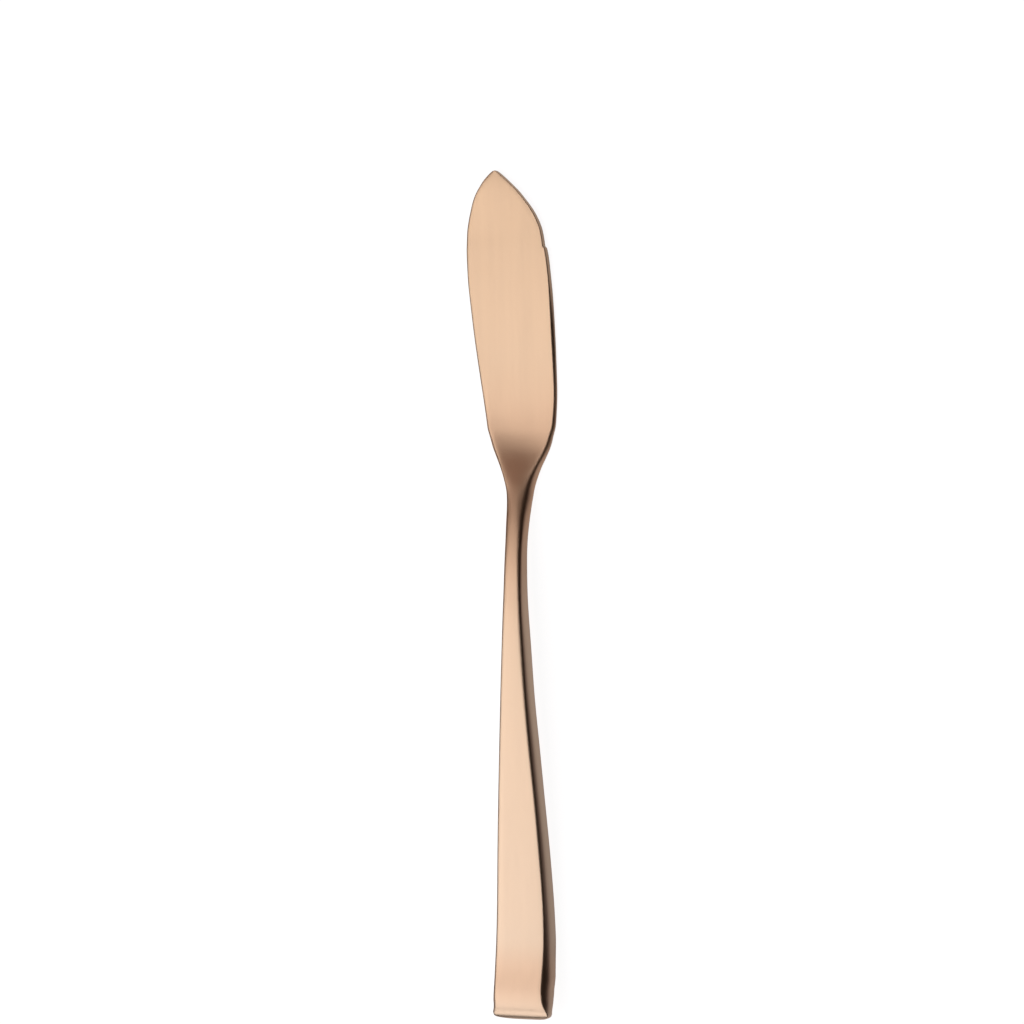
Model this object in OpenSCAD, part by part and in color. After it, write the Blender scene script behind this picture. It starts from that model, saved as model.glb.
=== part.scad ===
// Fish knife, lying on its flat back: a forged blade with a hidden tang, and a hollow
// handle of two pressed half shells brazed along their widest line and filled with cement.
// +X is the side of the blade's thick back, +Y points to the tip and +Z is up.
// The origin is on the table, under the middle of the knife.

/* [Overall size] */
// length from the end of the handle to the tip, mm
knife_length = 210; // [190:1:230]
// greatest height of the handle's crest above the table, mm
knife_height = 7.6; // [6.8:0.1:9]

/* [Blade] */
// greatest width of the blade, mm
blade_width = 24; // [20:0.5:28]
// thickness of the blade at its back, mm
blade_thickness = 1.6; // [1.3:0.05:2]
// depth of the forging that is ground off to make the blade's flat back, mm
grinding_depth = 0.4; // [0.2:0.1:0.6]

/* [Handle] */
// greatest width of the handle, mm
handle_width = 16; // [14:0.5:19]
// wall of the pressed half shells, mm
shell_wall = 0.7; // [0.5:0.05:0.8]

/* [Tang] */
// length of the tang inside the handle, mm
tang_length = 43; // [30:1:60]
// greatest width of the tang, mm
tang_width = 2.4; // [1.8:0.1:2.8]

/* [Edges] */
// width of the rounded border on the face's right side, mm
border_width = 0.22; // [0.1:0.02:0.4]
// rise of the face in its middle, mm
crown_height = 0.06; // [0:0.02:0.2]

/* [Colours] */
// rose gold coated steel of the blade and the shells
rose_gold = [0.87, 0.69, 0.57];
// cement in the handle
cement = [0.62, 0.6, 0.56];

/* [Hidden] */

// Each table starts its rows with the distance from the handle's end as a share of the
// knife's length. Widths are shares of the handle's or the blade's width, heights of the
// knife's height or the blade's thickness, and in the neck of a mix of the two.

// left and right edge of the face that looks up
face_edge_share = [
    [0, -0.17, 0.3], [0.0007, -0.29, 0.37], [0.0014, -0.37, 0.4], [0.0025, -0.428, 0.425],
    [0.0037, -0.453, 0.437], [0.006, -0.461, 0.441], [0.0104, -0.448, 0.42],
    [0.016, -0.428, 0.382], [0.0221, -0.4175, 0.3606], [0.028, -0.4065, 0.36],
    [0.034, -0.397, 0.3611], [0.0395, -0.391, 0.3663], [0.0457, -0.3886, 0.37],
    [0.0575, -0.3901, 0.3753], [0.0693, -0.3923, 0.3804], [0.0929, -0.3897, 0.3868],
    [0.14, -0.3708, 0.3836], [0.199, -0.3347, 0.3503], [0.2579, -0.2906, 0.3098],
    [0.3168, -0.2426, 0.2516], [0.3757, -0.1987, 0.2011], [0.4347, -0.1581, 0.1589],
    [0.4936, -0.1234, 0.1234], [0.5407, -0.1121, 0.1052], [0.5643, -0.1065, 0.1084],
    [0.5879, -0.1051, 0.1215], [0.6, -0.1034, 0.1337], [0.6114, -0.1065, 0.145],
    [0.6232, -0.1225, 0.1767], [0.635, -0.1566, 0.2059], [0.6468, -0.1938, 0.2416],
    [0.6586, -0.2412, 0.2868], [0.6704, -0.284, 0.33], [0.6821, -0.316, 0.362],
    [0.694, -0.3476, 0.3949], [0.7057, -0.3628, 0.407], [0.7293, -0.3928, 0.42],
    [0.7529, -0.4241, 0.4179], [0.8, -0.481, 0.4066], [0.8471, -0.5259, 0.3945],
    [0.8707, -0.5443, 0.3841], [0.8943, -0.5518, 0.3607], [0.9061, -0.5531, 0.3411],
    [0.908, -0.5527, 0.3349], [0.9095, -0.5522, 0.3253], [0.911, -0.5516, 0.3204],
    [0.9179, -0.5481, 0.3105], [0.9296, -0.5404, 0.2855], [0.9414, -0.5207, 0.246],
    [0.9532, -0.494, 0.1905], [0.965, -0.461, 0.1144], [0.9733, -0.425, 0.0535],
    [0.9815, -0.376, -0.0171], [0.9886, -0.3265, -0.0809], [0.9957, -0.2585, -0.147],
    [0.999, -0.219, -0.183]];

// height of that face, of the widest line below it, and of the back
height_share = [
    [0, 0.6649, 0.56, 0.535], [0.0015, 0.7224, 0.5624, 0.5293], [0.0045, 0.7858, 0.565, 0.515],
    [0.0075, 0.8205, 0.5619, 0.4903], [0.0104, 0.8457, 0.55, 0.46],
    [0.016, 0.8875, 0.5002, 0.3877], [0.0221, 0.9285, 0.44, 0.31], [0.0305, 0.9792, 0.37, 0.235],
    [0.0375, 0.9995, 0.3318, 0.189], [0.0457, 0.9812, 0.296, 0.145],
    [0.0575, 0.9285, 0.2534, 0.0974], [0.0693, 0.8733, 0.217, 0.059],
    [0.0929, 0.7959, 0.16, 0.004], [0.105, 0.7787, 0.158, 0], [0.14, 0.7782, 0.178, 0.007],
    [0.199, 0.8322, 0.257, 0.072], [0.2579, 0.8998, 0.342, 0.15], [0.3168, 0.962, 0.4, 0.21],
    [0.34, 0.9803, 0.4226, 0.2325], [0.3757, 0.9966, 0.45, 0.26], [0.4347, 0.9971, 0.45, 0.265],
    [0.4936, 0.9566, 0.447, 0.263], [0.5407, 0.8457, 0.388, 0.217],
    [0.5643, 0.7601, 0.349, 0.17], [0.5879, 0.6594, 0.26, 0.11], [0.6, 0.602, 0.228, 0.0872],
    [0.6114, 0.5687, 0.2, 0.068], [0.6232, 0.5723, 0.1606, 0.0477], [0.635, 0.6107, 0.13, 0.028],
    [0.645, 0.6744, 0.132, 0.0103], [0.6529, 0.7509, 0.148, 0], [0.661, 0.858, 0.1756, 0],
    [0.6704, 1.0004, 0.218, 0], [0.676, 1.0499, 0.2495, 0], [0.694, 0.9276, 0.318, 0],
    [0.71, 0.8378, 0.323, 0], [0.7293, 0.7844, 0.325, 0], [0.75, 0.774, 0.3412, 0],
    [0.788, 0.8082, 0.371, 0], [0.8471, 0.9045, 0.371, 0], [0.9061, 0.9618, 0.353, 0],
    [0.965, 0.8943, 0.3, 0], [0.999, 0.8009, 0.25, 0]];

// how far the widest line stands outside the face, on the left and on the right
flare_share = [
    [0, 0.005, 0.005], [0.0025, 0.01, 0.01], [0.006, 0.021, 0.021], [0.0104, 0.05, 0.05],
    [0.016, 0.09, 0.09], [0.0221, 0.111, 0.111], [0.0457, 0.111, 0.111], [0.0575, 0.104, 0.104],
    [0.0693, 0.097, 0.097], [0.0929, 0.089, 0.089], [0.14, 0.081, 0.0742],
    [0.199, 0.078, 0.0695], [0.2579, 0.0715, 0.0596], [0.3168, 0.0715, 0.063],
    [0.3757, 0.068, 0.0561], [0.4347, 0.066, 0.0558], [0.4936, 0.063, 0.0495],
    [0.5407, 0.067, 0.0636], [0.5643, 0.07, 0.0688], [0.5879, 0.071, 0.0811],
    [0.6, 0.071, 0.0908], [0.6114, 0.067, 0.093], [0.6232, 0.055, 0.0641],
    [0.635, 0.037, 0.0538], [0.6468, 0.021, 0.046], [0.6586, 0.01, 0.0346],
    [0.6704, 0.002, 0.0234], [0.6821, 0, 0.02], [0.694, 0, 0.0188], [0.7057, 0, 0.0204],
    [0.7293, 0, 0.0243], [0.7529, 0, 0.0285], [0.8, 0, 0.0341], [0.8471, 0, 0.0308],
    [0.8707, 0, 0.0244], [0.8943, 0, 0.0269], [0.9061, 0, 0.0231], [0.9179, 0, 0.011],
    [0.9296, 0, 0.0107], [0.965, 0, 0.013], [0.9886, 0, 0.012], [0.999, 0, 0.004]];

// left border of the face: width of its bevel, height of the face beside it and height of
// the bevel's foot as shares of the face's height, and height of the widest line as a share
// of the one on the right
left_share = [
    [0, 0.015, 1, 0.97, 1], [0.6, 0.015, 1, 0.96, 1], [0.6114, 0.018, 1, 0.95, 1],
    [0.6232, 0.027, 0.99, 0.92, 0.95], [0.635, 0.037, 0.97, 0.86, 0.85],
    [0.6468, 0.048, 0.92, 0.74, 0.75], [0.6586, 0.051, 0.84, 0.6, 0.6],
    [0.6704, 0.045, 0.72, 0.47, 0.45], [0.6821, 0.034, 0.58, 0.36, 0.35],
    [0.694, 0.025, 0.5, 0.31, 0.3], [0.75, 0.019, 0.45, 0.3, 0.3], [0.92, 0.019, 0.45, 0.3, 0.3],
    [0.94, 0.018, 0.5, 0.34, 0.4], [0.965, 0.016, 0.65, 0.5, 0.5],
    [0.985, 0.012, 0.83, 0.7, 0.7], [0.999, 0.006, 0.95, 0.85, 0.8]];

// drop of the rounded right border, and the shape of both borders
border_drop_share = 0.03;
soft_in_share = 0.35;
soft_up_share = 0.45;
// how fast the side leaves the face, and how fast the thin blade gains height beside its edge
side_power = 1.6;
rise_share = 0.6;
// flat part of the back: under the handle, and under the blade
handle_flat_share = 0.45;
blade_flat_share = 0.985;

// places along the knife as shares of its length: where the handle's sizes give way to the
// blade's, joint of blade and handle, ends of the hollow and of its steep stretch, heel, tip
neck_start_share = 0.6;
neck_end_share = 0.68;
mouth_share = 0.605;
hollow_end_share = 0.046;
slope_end_share = 0.14;
heel_share = 0.72;
nick_share = [0.9061, 0.908, 0.9095, 0.911, 0.9125];
tip_share = 0.9995;
butt_share = [0, 0.002, 0.0045, 0.0075, 0.0104, 0.014, 0.018, 0.0221, 0.0262, 0.0305, 0.034,
              0.0385, 0.0425];

// number of sections in each stretch, and of points on the parts of a section
slope_steps = 7;
run_steps = 18;
neck_steps = 18;
face_steps = 10;
point_steps = 12;
tang_steps = 6;
face_points = 6;
side_points = 3;
under_points = 4;
quarter_turn = 90;

function row_at(t, s, i = 0) = i >= len(t) - 2 || s < t[i + 1][0] ? i : row_at(t, s, i + 1);
function steep(t, i, c) = let (p = max(i - 1, 0), q = min(i + 1, len(t) - 1))
    (t[q][c] - t[p][c]) / (t[q][0] - t[p][0]);
function ease(u) = u * u * (3 - u - u);
// smooth curve through column c of a table
function curve(t, s, c) =
    let (i = row_at(t, s), h = t[i + 1][0] - t[i][0], u = (s - t[i][0]) / h)
    t[i][c] * ease(1 - u) + t[i + 1][c] * ease(u)
    + steep(t, i, c) * h * u * (1 - u) * (1 - u) - steep(t, i + 1, c) * h * u * u * (1 - u);
function steps(a, b, n, skip = 0) = [for (i = [skip:1:n]) a + (b - a) * i / n];

// 0 in the handle, 1 in the blade, and the sizes that the shares multiply there
function blade_part(s) =
    ease(min(1, max(0, (s - neck_start_share) / (neck_end_share - neck_start_share))));
function width_at(s) = handle_width + (blade_width - handle_width) * blade_part(s);
function height_at(s) = knife_height + (blade_thickness - knife_height) * blade_part(s);

// upper arc of a cross section, from the widest line on the left over the face to the right;
// w is the wall taken away all round for the hollow
function over(s, w = 0) = let (
    across = width_at(s),
    up = height_at(s),
    xl = curve(face_edge_share, s, 1) * across + w,
    xr = curve(face_edge_share, s, 2) * across - w,
    face = curve(height_share, s, 1) * up - w,
    right_wide = curve(height_share, s, 2) * up,
    left_wide = curve(left_share, s, 4) * right_wide,
    left_flare = curve(flare_share, s, 1) * across,
    right_flare = curve(flare_share, s, 2) * across,
    bevel = curve(left_share, s, 1) * across,
    left_face = curve(left_share, s, 2) * face,
    foot = curve(left_share, s, 3) * face,
    drop = face * (1 - border_drop_share),
    power = rise_share + (1 - rise_share) * left_face / face)
    concat(
        [for (i = [side_points:-1:1]) let (u = i / side_points)
            [xl - left_flare * (1 - pow(1 - u, side_power)), foot + (left_wide - foot) * u]],
        [[xl, foot], [xl + bevel * soft_in_share, left_face + (foot - left_face) * soft_up_share]],
        [for (i = [0:1:face_points]) let (u = i / face_points)
            [xl + bevel + (xr - border_width - xl - bevel) * u,
             left_face + (face - left_face) * pow(u, power) + crown_height * 4 * u * (1 - u)]],
        [[xr - border_width * soft_in_share, drop + (face - drop) * (1 - soft_up_share)], [xr, drop]],
        [for (i = [1:1:side_points]) let (u = i / side_points)
            [xr + right_flare * (1 - pow(1 - u, side_power)), drop + (right_wide - drop) * u]]);

// lower arc, from the widest line on the right under the knife to the left
function lower(s, w = 0) = let (
    o = over(s, w),
    a = o[0],
    b = o[len(o) - 1],
    back = max(0, curve(height_share, s, 3)) * height_at(s) + w,
    mid = (a[0] + b[0]) / 2,
    half = (b[0] - a[0]) / 2,
    flat = half * (handle_flat_share + (blade_flat_share - handle_flat_share) * blade_part(s)))
    concat(
        [for (i = [0:1:under_points]) let (t = quarter_turn * i / under_points)
            [mid + flat + (half - flat) * cos(t), b[1] + (back - b[1]) * sin(t)]],
        [[mid, back]],
        [for (i = [under_points:-1:0]) let (t = quarter_turn * i / under_points)
            [mid - flat - (half - flat) * cos(t), a[1] + (back - a[1]) * sin(t)]]);

// closed cross section, and its middle
function ring(s, w = 0) = let (l = lower(s, w)) concat(over(s, w), [for (i = [1:1:len(l) - 2]) l[i]]);
function middle(s) = let (o = over(s))
    [(o[0][0] + o[len(o) - 1][0]) / 2,
     (curve(height_share, s, 1) + curve(height_share, s, 3)) * height_at(s) / 2];

// rows of sections of the pieces
handle_places = concat(steps(hollow_end_share, slope_end_share, slope_steps),
                       steps(slope_end_share, mouth_share, run_steps, 1));
shell_places = concat(butt_share, [hollow_end_share], handle_places);
blade_places = concat(steps(mouth_share, heel_share, neck_steps),
                      steps(heel_share, nick_share[0], face_steps, 1),
                      [for (i = [1:1:len(nick_share) - 1]) nick_share[i]],
                      [for (i = [1:1:point_steps]) let (last = nick_share[len(nick_share) - 1])
                          last + (tip_share - last) * sin(quarter_turn * i / point_steps)]);
tang_places = steps(mouth_share - tang_length / knife_length, mouth_share, tang_steps);
solid_rows = len(butt_share) + 1;

// the knife's box is centred on the origin
blade_sides = [for (s = blade_places) let (o = over(s)) [o[0][0], o[len(o) - 1][0]]];
centre = (min([for (p = blade_sides) p[0]]) + max([for (p = blade_sides) p[1]])) / 2;
function set_at(p, s) = [p[0] - centre, (s - 1 / 2) * knife_length, p[1]];
function place(r, s) = [for (p = r) set_at(p, s)];

// section of the tang, the same all along: the neck's own section made smaller
function tang_ring(s) = let (
    neck = ring(mouth_share),
    m = middle(mouth_share),
    c = middle(s),
    k = tang_width / (max([for (p = neck) p[0]]) - min([for (p = neck) p[0]])))
    [for (p = neck) [c[0] + (p[0] - m[0]) * k, c[1] + (p[1] - m[1]) * k]];

// skin over a row of rings with the same number of points, closed by a fan at each end
module skin(rings, first_hub, last_hub) {
    n = len(rings[0]);
    m = len(rings);
    walls = [for (i = [0:1:m - 2]) for (j = [0:1:n - 1]) let (a = i * n, b = a + n, k = (j + 1) % n)
        each [[a + j, b + k, a + k], [a + j, b + j, b + k]]];
    ends = [for (j = [0:1:n - 1]) let (a = (m - 1) * n, k = (j + 1) % n)
        each [[m * n, j, k], [m * n + 1, a + k, a + j]]];
    polyhedron(points = concat([for (r = rings) each r], [first_hub, last_hub]),
               faces = concat(walls, ends));
}

// a half shell: outer and inner arc of each section; behind the hollow the inner arc lies
// flat on the parting line, so the end of the handle is solid. Row `step` stands in the same
// place as the next one: there only the inner arc rises from flat to hollow
module half_shell(outer, inner, step) {
    n = len(outer[0]);
    m = len(outer);
    q = m * n;
    e = n - 1;
    last = (m - 1) * n;
    out_side = [for (i = [0:1:m - 2]) if (i != step) for (j = [0:1:n - 2]) let (a = i * n + j, b = a + n)
        each [[a, b + 1, a + 1], [a, b, b + 1]]];
    in_side = [for (i = [0:1:m - 2]) for (j = [0:1:n - 2]) let (a = q + i * n + j, b = a + n) each concat(
        i == step && j == n - 2 ? [] : [[a, a + 1, b + 1]],
        i == step && j == 0 ? [] : [[a, b + 1, b]])];
    rims = [for (i = [0:1:m - 2]) if (i != step) let (a = i * n, b = a + n)
        each [[a, q + b, b], [a, q + a, q + b],
              [a + e, b + e, q + b + e], [a + e, q + b + e, q + a + e]]];
    butt = [for (j = [0:1:n - 2])
        each j + j < e ? [[j, j + 1, q + j], [j + 1, q + j + 1, q + j]]
                       : [[j, j + 1, q + j + 1], [j, q + j + 1, q + j]]];
    mouth = [for (j = [0:1:n - 2]) let (a = last + j)
        each [[a, q + a + 1, a + 1], [a, q + a, q + a + 1]]];
    polyhedron(points = concat([for (r = outer) each r], [for (r = inner) each r]),
               faces = concat(out_side, in_side, rims, butt, mouth));
}
function flattened(r) = [for (p = r) [p[0], r[0][1]]];
function hollow_rows(arcs) = [for (i = [0:1:len(arcs) - 1])
    place(i < solid_rows ? flattened(arcs[i]) : arcs[i], shell_places[i])];

// blade, shoulder and neck with the tang, one forging with its back ground flat
module blade() {
    dip = [for (s = blade_places) let (deep = grinding_depth * blade_part(s))
        [for (p = ring(s)) p[1] > 0 ? p : [p[0], -deep]]];
    first = tang_places[0];
    color(rose_gold)
        difference() {
            skin(concat([for (s = tang_places) place(tang_ring(s), s)],
                        [for (i = [0:1:len(blade_places) - 1]) place(dip[i], blade_places[i])]),
                 set_at(middle(first), first), set_at(middle(tip_share), tip_share));
            translate([-blade_width, 0, -grinding_depth - grinding_depth])
                cube([blade_width + blade_width, knife_length, grinding_depth + grinding_depth]);
        }
}

module handle_front_shell() {
    color(rose_gold)
        half_shell([for (s = shell_places) place(over(s), s)],
                   hollow_rows([for (s = shell_places) over(s, shell_wall)]), solid_rows - 1);
}

module handle_back_shell() {
    color(rose_gold)
        half_shell([for (s = shell_places) place(lower(s), s)],
                   hollow_rows([for (s = shell_places) lower(s, shell_wall)]), solid_rows - 1);
}

// cement round the tang: outside from the hollow's end to the mouth, then back on the tang
module handle_core() {
    tang_rows = [for (i = [tang_steps:-1:0]) place(tang_ring(tang_places[i]), tang_places[i])];
    color(cement)
        skin(concat([for (s = handle_places) place(ring(s, shell_wall), s)], tang_rows),
             set_at(middle(hollow_end_share), hollow_end_share),
             set_at(middle(tang_places[0]), tang_places[0]));
}

blade();
handle_front_shell();
handle_back_shell();
handle_core();
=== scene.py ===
# %% [markdown]
# # A fish knife in rose gold coated steel
# The knife is 210 mm long: a thin blade, a narrow neck and a long slim hollow handle. Its whole
# look comes from a few long curves and from the way a finely brushed metal mirrors the room.
# So this lesson spends its work on two things: smooth skins that follow curves, and light.
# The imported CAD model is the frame: everything here is in metres and in its place already.

import math

import bpy
import numpy as np
from mathutils import Matrix, Vector


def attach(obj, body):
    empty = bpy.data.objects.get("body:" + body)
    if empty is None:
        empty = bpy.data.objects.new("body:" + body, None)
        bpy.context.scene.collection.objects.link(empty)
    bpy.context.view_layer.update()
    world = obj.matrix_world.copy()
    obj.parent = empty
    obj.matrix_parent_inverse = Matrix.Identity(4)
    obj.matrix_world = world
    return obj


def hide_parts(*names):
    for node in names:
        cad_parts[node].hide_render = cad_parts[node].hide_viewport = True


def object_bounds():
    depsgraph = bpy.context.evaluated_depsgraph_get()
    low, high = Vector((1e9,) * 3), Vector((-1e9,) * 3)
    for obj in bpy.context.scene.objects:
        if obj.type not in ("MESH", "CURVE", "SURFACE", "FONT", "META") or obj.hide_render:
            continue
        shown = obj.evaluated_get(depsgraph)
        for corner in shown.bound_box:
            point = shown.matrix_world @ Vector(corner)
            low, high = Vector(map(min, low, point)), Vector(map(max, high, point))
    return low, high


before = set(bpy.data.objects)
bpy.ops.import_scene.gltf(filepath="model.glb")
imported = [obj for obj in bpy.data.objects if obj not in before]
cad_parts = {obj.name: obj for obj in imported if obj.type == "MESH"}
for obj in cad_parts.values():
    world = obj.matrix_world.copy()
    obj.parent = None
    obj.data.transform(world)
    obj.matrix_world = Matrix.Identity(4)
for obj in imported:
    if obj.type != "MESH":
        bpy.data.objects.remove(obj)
cad_low, cad_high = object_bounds()
MM = 0.001
print("CAD box in mm:", [round(v / MM, 2) for v in (*cad_low, *cad_high)])

# %% [markdown]
# ## Camera
# The photographer stood well above the knife and a little to its right: the line of sight
# leans 24 degrees to the side of the blade's thick back. The tip leans a hair to the left in
# the picture, which is a small roll of the camera. The lens is a long one, as for a picture in
# a catalogue, and keeps the shapes true. The camera is made first, so that every later step
# can be judged in the right view.

# %% Place the camera
LEAN = math.radians(24)
ROLL = math.radians(-1.2)
# what the picture's width spans where the knife lies, and the point in the picture's middle
FIELD = 254.05 * MM
AIM = Vector((-1.06 * MM, 20.03 * MM, 0))
# focal length and sensor width, in the lens maker's millimetres
LENS, SENSOR = 120, 36

photo_camera = bpy.data.cameras.new("photo_camera")
photo_camera.type = "PERSP"
photo_camera.lens = LENS
photo_camera.sensor_width = SENSOR
camera = bpy.data.objects.new("photo_camera", photo_camera)
bpy.context.scene.collection.objects.link(camera)

back = Vector((math.sin(LEAN), 0, math.cos(LEAN)))
right = Vector((math.cos(LEAN), 0, -math.sin(LEAN)))
up = Vector((0, 1, 0))
middle = right * AIM.x + up * AIM.y
rolled_right = right * math.cos(ROLL) + up * math.sin(ROLL)
rolled_up = up * math.cos(ROLL) - right * math.sin(ROLL)
distance = FIELD * LENS / SENSOR
turn = Matrix((rolled_right, rolled_up, back)).transposed().to_4x4()
camera.matrix_world = Matrix.Translation(middle + back * distance) @ turn
bpy.context.scene.camera = camera
print("camera distance in mm:", round(distance / MM))

# %% [markdown]
# ## Real sizes
# The sizes are those of the CAD model, so the skins made here lie on its solids. Each has one
# name, and all that follows is worked out from these names.

# %% Name the sizes
LENGTH, HEIGHT = 210 * MM, 7.6 * MM
BLADE_WIDTH, BLADE_THICKNESS = 24 * MM, 1.6 * MM
HANDLE_WIDTH, WALL = 16 * MM, 0.7 * MM
TANG_LENGTH, TANG_WIDTH = 43 * MM, 2.4 * MM
# the small bevel on the handle's left edge: how wide, how deep and how soft
BEVEL_OUT, BEVEL_DOWN, BEVEL_SOFT = 0.9 * MM, 0.36 * MM, 1.4 * MM
print("length and greatest height in mm:", round(LENGTH / MM, 1), round(HEIGHT / MM, 1))

# %% [markdown]
# ## Templates for widths and heights
# A forger checks a knife with templates: how wide is it here, how high, how far does its side
# bulge. These tables are such templates. Each row starts with the distance from the end of
# the handle as a share of the length. Widths are shares of the handle's or the blade's width,
# heights of the knife's height or the blade's thickness. The face has no table of heights.
# It has one of its lean instead, because the lean decides what the metal mirrors.

# %% Tables of widths, heights and leans
# left and right edge of the face
face_edges = [
    [0, -0.1492, 0.3159], [0.0007, -0.2669, 0.3878], [0.0014, -0.3445, 0.4194],
    [0.0025, -0.3985, 0.4473], [0.0037, -0.419, 0.4629], [0.006, -0.4192, 0.4744],
    [0.0104, -0.3905, 0.465], [0.016, -0.3677, 0.4323], [0.0221, -0.3659, 0.4112],
    [0.028, -0.3667, 0.4023], [0.034, -0.366, 0.3942], [0.0395, -0.3648, 0.3942],
    [0.0457, -0.3637, 0.396], [0.0575, -0.3623, 0.4029], [0.0693, -0.3591, 0.412],
    [0.0929, -0.3493, 0.4218], [0.14, -0.3246, 0.416], [0.199, -0.2885, 0.3818],
    [0.2579, -0.2444, 0.3406], [0.3168, -0.1972, 0.2842], [0.3757, -0.1542, 0.2354],
    [0.4347, -0.1161, 0.1914], [0.4936, -0.0839, 0.1541], [0.5407, -0.0692, 0.1273],
    [0.5643, -0.0626, 0.1248], [0.5879, -0.0612, 0.1279], [0.6, -0.0603, 0.1383],
    [0.6114, -0.0656, 0.1496], [0.6232, -0.0862, 0.1761], [0.635, -0.1316, 0.2111],
    [0.6468, -0.1785, 0.2568], [0.6586, -0.2246, 0.298], [0.6704, -0.2657, 0.3385],
    [0.6821, -0.2979, 0.3709], [0.694, -0.3295, 0.4049], [0.7057, -0.3448, 0.4188],
    [0.7293, -0.3747, 0.4356], [0.7529, -0.406, 0.4354], [0.8, -0.4629, 0.4236],
    [0.8471, -0.5078, 0.4138], [0.8707, -0.5259, 0.4052], [0.8943, -0.5331, 0.3836],
    [0.9061, -0.5342, 0.3665], [0.9179, -0.529, 0.3489], [0.9296, -0.5218, 0.322],
    [0.9414, -0.5026, 0.2756], [0.9532, -0.4762, 0.2132], [0.965, -0.4435, 0.1331],
    [0.9733, -0.4088, 0.0721], [0.9815, -0.3603, 0.0001], [0.9886, -0.3108, -0.0662],
    [0.9957, -0.2437, -0.1344], [0.999, -0.2035, -0.1716]]
# height of the widest line, and of the back
heights = [
    [0, 0.56, 0.535], [0.0045, 0.565, 0.515], [0.0104, 0.55, 0.46], [0.0221, 0.44, 0.31],
    [0.0305, 0.37, 0.235], [0.0457, 0.296, 0.145], [0.0693, 0.217, 0.059], [0.0929, 0.16, 0.004],
    [0.105, 0.158, 0], [0.14, 0.178, 0.007], [0.199, 0.257, 0.072], [0.2579, 0.342, 0.15],
    [0.3168, 0.4, 0.21], [0.3757, 0.45, 0.26], [0.4347, 0.45, 0.265], [0.4936, 0.447, 0.263],
    [0.5407, 0.388, 0.217], [0.5643, 0.349, 0.17], [0.5879, 0.26, 0.11], [0.6114, 0.2, 0.068],
    [0.635, 0.13, 0.028], [0.6529, 0.148, 0], [0.6704, 0.218, 0], [0.6821, 0.283, 0],
    [0.694, 0.318, 0], [0.7293, 0.325, 0], [0.788, 0.371, 0], [0.8471, 0.371, 0],
    [0.9061, 0.353, 0], [0.965, 0.3, 0], [0.999, 0.25, 0]]
# lean of the face in degrees, more than 0 where it falls towards the tip
leans = [
    [0, -60], [0.0015, -49], [0.004, -36], [0.007, -27.5], [0.0105, -20.5], [0.015, -13],
    [0.019, -6.5], [0.023, -1], [0.027, 2.86], [0.032, 6.21], [0.038, 8.4], [0.046, 8.79],
    [0.055, 7.83], [0.065, 6.59], [0.078, 5.06], [0.09, 3.53], [0.1, 2.29], [0.115, 0.5],
    [0.14, -1.1], [0.17, -2], [0.2, -2.3], [0.25, -2.4], [0.3, -2.1], [0.34, -1.4], [0.38, -0.4],
    [0.42, 0.7], [0.46, 2], [0.49, 4], [0.515, 4.9], [0.54, 6.3], [0.565, 7.5], [0.59, 8.6],
    [0.61, 8.7], [0.625, 8.9], [0.64, 9.2], [0.652, 9.3], [0.662, 8.2], [0.672, 6.4],
    [0.682, 4.9], [0.692, 3.3], [0.703, 2.4], [0.715, 1.4], [0.73, 0.4], [0.75, 0.1],
    [0.8, -0.4], [0.86, -0.4], [0.91, -0.3], [0.95, 0.4], [1, 2]]
# how far the widest line stands outside the face, left and right
flares = [
    [0, 0.017, 0.0033], [0.0025, 0.0226, 0.0049], [0.006, 0.0365, 0.0075],
    [0.0104, 0.0689, 0.0196], [0.016, 0.1095, 0.0547], [0.0221, 0.1259, 0.0757],
    [0.0457, 0.1006, 0.0998], [0.0575, 0.0947, 0.0911], [0.0693, 0.0912, 0.0799],
    [0.0929, 0.0883, 0.0682], [0.14, 0.081, 0.0554], [0.199, 0.078, 0.0529],
    [0.2579, 0.0715, 0.0449], [0.3168, 0.0715, 0.0474], [0.3757, 0.068, 0.0396],
    [0.4347, 0.066, 0.0397], [0.4936, 0.063, 0.034], [0.5407, 0.067, 0.0516],
    [0.5643, 0.07, 0.0648], [0.5879, 0.071, 0.0894], [0.6, 0.071, 0.102],
    [0.6114, 0.067, 0.1073], [0.6232, 0.055, 0.0855], [0.635, 0.037, 0.0651],
    [0.6468, 0.021, 0.0438], [0.6586, 0.01, 0.0384], [0.6704, 0.002, 0.0319],
    [0.6821, 0, 0.0251], [0.694, 0, 0.0216], [0.7057, 0, 0.0198], [0.7293, 0, 0.0171],
    [0.7529, 0, 0.0186], [0.8, 0, 0.0229], [0.8471, 0, 0.0154], [0.8707, 0, 0.007],
    [0.8943, 0, 0.0077], [0.9061, 0, 0.0046], [0.9179, 0, 0.003], [0.9296, 0, 0.003],
    [0.965, 0, 0.003], [0.9886, 0, 0.0067], [0.999, 0, 0.0042]]
print("rows:", len(face_edges), "edges,", len(heights), "heights,", len(leans), "leans")

# %% [markdown]
# ## Templates for the edges
# The edges make this knife: a thin ground border on the blade's left, a ridge that parts the
# right side in two, and a small notch filed into the back of the blade. In the shoulder the
# face arches a little and slumps towards its right edge, which shades that corner.

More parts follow.
